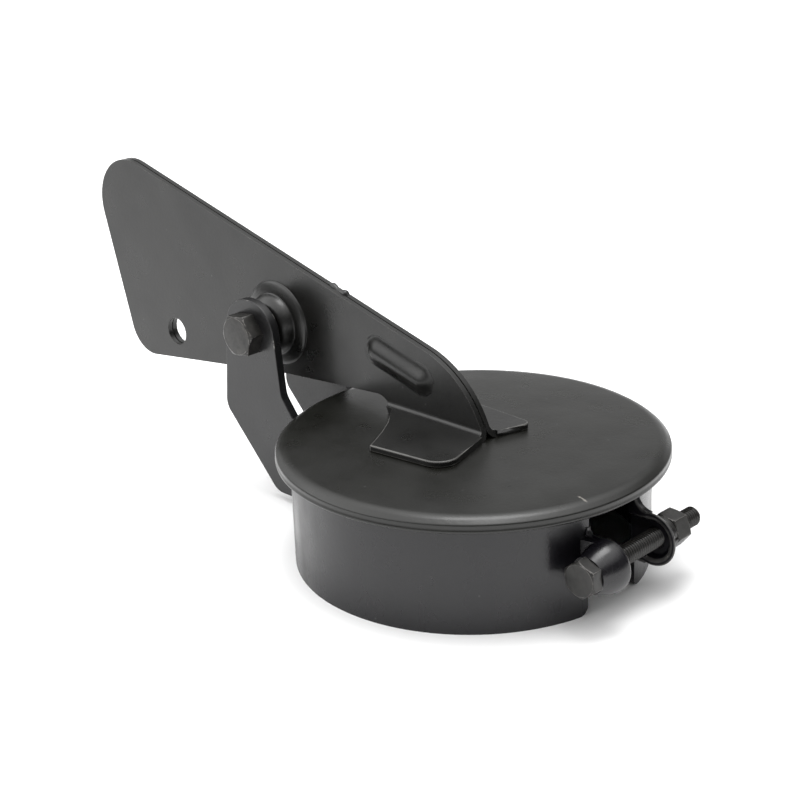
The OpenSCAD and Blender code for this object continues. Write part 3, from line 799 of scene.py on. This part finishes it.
def rod_piece(name, x, z, thread_r, pitch, y0, y1, plain_to, sides=40, steps_per_turn=9):
    """A rod along Y with a helical thread from plain_to to y1 and a chamfered tip."""
    form = bmesh.new()
    depth = pitch * 0.58
    step = pitch / steps_per_turn
    rows = []
    y = y0
    while y < y1:
        rows.append(y)
        y += step if y >= plain_to else max(plain_to - y, step)
    rows.append(y1)
    rings = []
    for y in rows:
        ring = []
        for k in range(sides):
            angle = 2 * math.pi * k / sides
            r = thread_r
            if y > plain_to:
                phase = ((y - y0) / pitch - k / sides) % 1
                flank = 1 - min(1, max(0, (abs(phase - 0.5) * 2 - 0.12) / 0.76))
                r -= depth * flank * min(1, (y - plain_to) / pitch)
            r = min(r, thread_r - depth * 1.15 + max(0, y1 - y))
            ring.append(form.verts.new((x + r * math.cos(angle), y, z + r * math.sin(angle))))
        rings.append(ring)
    skin(form, rings)
    form.faces.new(list(reversed(rings[0])))
    form.faces.new(rings[-1])
    piece = piece_of(name, form)
    piece.data.set_sharp_from_angle(angle=math.radians(50))
    return piece


fastener_steel = black_oxide("fastener_black_oxide", rough_low=0.30, rough_high=0.48)
washer_steel = black_oxide(
    "washer_black_oxide", rough_low=0.24, rough_high=0.40, turned_about=pivot)

pivot_af = 0.013
pivot_thread_r = 0.004
pivot_pitch = 0.00125
pivot_turn = math.radians(6.6)
into_head = 0.001
bracket_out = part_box("bracket_rear")[1].y
pivot_low, pivot_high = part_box("pivot_bolt")
head = hexagon_piece("pivot_bolt_head", pivot.x, pivot.z, pivot_af, pivot_low.y, -bracket_out,
                     pivot_turn, 0, ("low",))
shank = rod_piece("pivot_bolt_shank", pivot.x, pivot.z, pivot_thread_r, pivot_pitch,
                  -bracket_out - into_head, pivot_high.y, plain_to=0.009)
nut_low, nut_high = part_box("pivot_nut")
nut = hexagon_piece("pivot_hexagon_nut", pivot.x, pivot.z, pivot_af, nut_low.y, nut_high.y,
                    pivot_turn, 0.0041, ("low", "high"))
# Its thread carries painted shade in the grooves and a painted highlight on the crests.
shank.data.materials.append(black_oxide(
    "pivot_thread_black_oxide", rough_low=0.26, rough_high=0.4,
    thread=(pivot, 0.0034, 0.0039)))
put_in_scene(shank, "base")
for piece in (head, nut):
    piece.data.materials.append(fastener_steel)
    put_in_scene(piece, "base")
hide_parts("pivot_bolt")
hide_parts("pivot_nut")

for name in ("washer_front_inner", "washer_front_outer",
             "washer_rear_inner", "washer_rear_outer"):
    form = solid_of(name)
    round_edges(form, sharp_edges(form), edge_r)
    washer = flat_sided_piece(name + "_ring", form)
    washer.data.materials.append(washer_steel)
    put_in_scene(washer, "base")
    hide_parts(name)

# ---- Clamp bolt, nut and lock washer ----
# A fully threaded M6 bolt draws the two ears together. Under its nut sits a split spring
# washer, whose cut ends stand apart. All are black oxide; the thread has painted shade in its
# grooves and a painted highlight on its crests.
clamp_af = 0.010
clamp_thread_r = 0.003
clamp_pitch = 0.001
clamp_low, clamp_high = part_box("clamp_bolt")
spring_low, spring_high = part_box("clamp_lock_washer")
clamp_x = (spring_low.x + spring_high.x) / 2
clamp_z = (spring_low.z + spring_high.z) / 2
head_h = 0.004
head = hexagon_piece("clamp_bolt_head", clamp_x, clamp_z, clamp_af, clamp_low.y,
                     clamp_low.y + head_h, math.radians(-22.6), 0, ("low",))
shank = rod_piece("clamp_bolt_shank", clamp_x, clamp_z, clamp_thread_r, clamp_pitch,
                  clamp_low.y + head_h - into_head, clamp_high.y,
                  plain_to=clamp_low.y + head_h + 0.001)
nut_low, nut_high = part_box("clamp_nut")
nut = hexagon_piece("clamp_hexagon_nut", clamp_x, clamp_z, clamp_af, nut_low.y, nut_high.y,
                    math.radians(-8.5), 0.0031, ("low", "high"))

spring_in_r, spring_out_r = 0.0032, 0.0054
spring_t = 0.0015
spring_steps = 90
spring_open = math.radians(9)
form = bmesh.new()
rings = []
for i in range(spring_steps + 1):
    share = i / spring_steps
    angle = spring_open / 2 + share * (2 * math.pi - spring_open)
    y = spring_low.y + share * (spring_high.y - spring_low.y - spring_t)
    rings.append([
        form.verts.new((clamp_x + r * math.cos(angle), y + dy, clamp_z + r * math.sin(angle)))
        for r, dy in ((spring_in_r, 0), (spring_out_r, 0),
                      (spring_out_r, spring_t), (spring_in_r, spring_t))])
skin(form, rings)
form.faces.new(rings[0])
form.faces.new(list(reversed(rings[-1])))
spring = piece_of("clamp_spring_washer", form, smooth=False)
rounding = spring.modifiers.new("rolled_edges", "BEVEL")
rounding.width = 0.0002
rounding.segments = 2

shank.data.materials.append(black_oxide(
    "clamp_thread_black_oxide", rough_low=0.26, rough_high=0.4,
    thread=(Vector((clamp_x, 0, clamp_z)), 0.00255, 0.0029)))
put_in_scene(shank, "base")
for piece in (head, nut, spring):
    piece.data.materials.append(fastener_steel)
    put_in_scene(piece, "base")
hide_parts("clamp_bolt")
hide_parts("clamp_nut")
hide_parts("clamp_lock_washer")

# ---- Floor and light ----
# A wide matt white table in a white tent. The roof is bright, the left wall glows in its upper
# part and the far wall near the table, and one soft box hangs overhead.
floor_mesh = bpy.data.meshes.new("floor")
reach = 12.0
floor_mesh.from_pydata(
    [(-reach, -reach, 0), (reach, -reach, 0), (reach, reach, 0), (-reach, reach, 0)],
    [], [(0, 1, 2, 3)])
floor = bpy.data.objects.new("floor", floor_mesh)
bpy.context.scene.collection.objects.link(floor)
table = Wiring("matt_white_table")
table.shader.inputs["Specular IOR Level"].default_value = 0.1
table.finish(table.tones(table.grain(8), (0.3, (0.93, 0.93, 0.93)), (0.7, (0.95, 0.95, 0.95))),
             table.span(table.grain(40), 0.3, 0.7, 0.85, 0.95),
             table.relief(table.grain(900), strength=0.05, depth=0.0001))
floor.data.materials.append(table.material)

world = bpy.data.worlds.new("white_tent")
bpy.context.scene.world = world
world.use_nodes = True

# Heights on the sky, as sines: where a wall changes from its lower glow to its upper one, and
# where the roof takes over from the walls.
wall_from, wall_to = 0.15, 0.5
roof_from, roof_to = 0.5, 0.85
roof_glow = 2.2


class Tent(Wiring):
    """The sky as a white tent: a bright roof, and walls that may each be lit on their own."""

    def __init__(self):
        self.tree = world.node_tree
        self.place = self.node("ShaderNodeTexCoord").outputs["Generated"]
        parts = self.node("ShaderNodeSeparateXYZ", {"Vector": self.place})
        self.x, self.y, self.z = parts.outputs
        level = self.maths("ADD", self.maths("MULTIPLY", self.x, self.x),
                           self.maths("MULTIPLY", self.y, self.y))
        self.level = self.maths("MAXIMUM", self.maths("SQRT", level, 0), 0.0001)
        self.glow = self.maths("MULTIPLY", self.span(self.z, roof_from, roof_to), roof_glow)

    def wall(self, towards, near_table, near_roof):
        """Lights the wall on one side, by its glow near the table and its glow near the roof."""
        facing = self.maths("ADD", self.maths("MULTIPLY", self.x, towards.x),
                            self.maths("MULTIPLY", self.y, towards.y))
        facing = self.maths("MAXIMUM", self.maths("DIVIDE", facing, self.level), 0.0)
        facing = self.maths("MULTIPLY", facing, facing)
        low = self.maths("MULTIPLY", self.span(self.z, wall_from, wall_to, 1, 0), near_table)
        high = self.maths("MULTIPLY", self.span(self.z, wall_from, wall_to),
                          self.span(self.z, roof_from, roof_to, 1, 0))
        lit = self.maths("ADD", low, self.maths("MULTIPLY", high, near_roof))
        self.glow = self.maths("ADD", self.glow, self.maths("MULTIPLY", facing, lit))


tent = Tent()
camera_side = Vector((math.sin(azimuth), -math.cos(azimuth), 0))
tent.wall(-level_right, near_table=0.0, near_roof=3.4)
tent.wall(-camera_side, near_table=1.08, near_roof=0.15)
tent.wall(camera_side, near_table=0.35, near_roof=0.05)
tent.wall(level_right, near_table=0.08, near_roof=0.08)
tent_light = tent.node("ShaderNodeBackground", {"Color": (1, 1, 1, 1), "Strength": tent.glow})
backdrop = tent.node("ShaderNodeBackground", {"Color": (1.0, 1.0, 1.0, 1)})
seen = tent.node("ShaderNodeLightPath").outputs["Is Camera Ray"]
chosen = tent.node("ShaderNodeMixShader", {
    0: seen, 1: tent_light.outputs["Background"], 2: backdrop.outputs["Background"]})
tent.tree.links.new(chosen.outputs["Shader"], tent.tree.nodes["World Output"].inputs["Surface"])
bpy.context.scene.view_settings.view_transform = "Standard"

lamp_place = Vector((0, 0.12, 1.15))
light = bpy.data.lights.new("overhead_box", "AREA")
light.size = 0.55
light.energy = 6
lamp = bpy.data.objects.new("overhead_box", light)
lamp.location = lamp_place
lamp.rotation_euler = (-lamp_place).to_track_quat("-Z", "Y").to_euler()
bpy.context.scene.collection.objects.link(lamp)
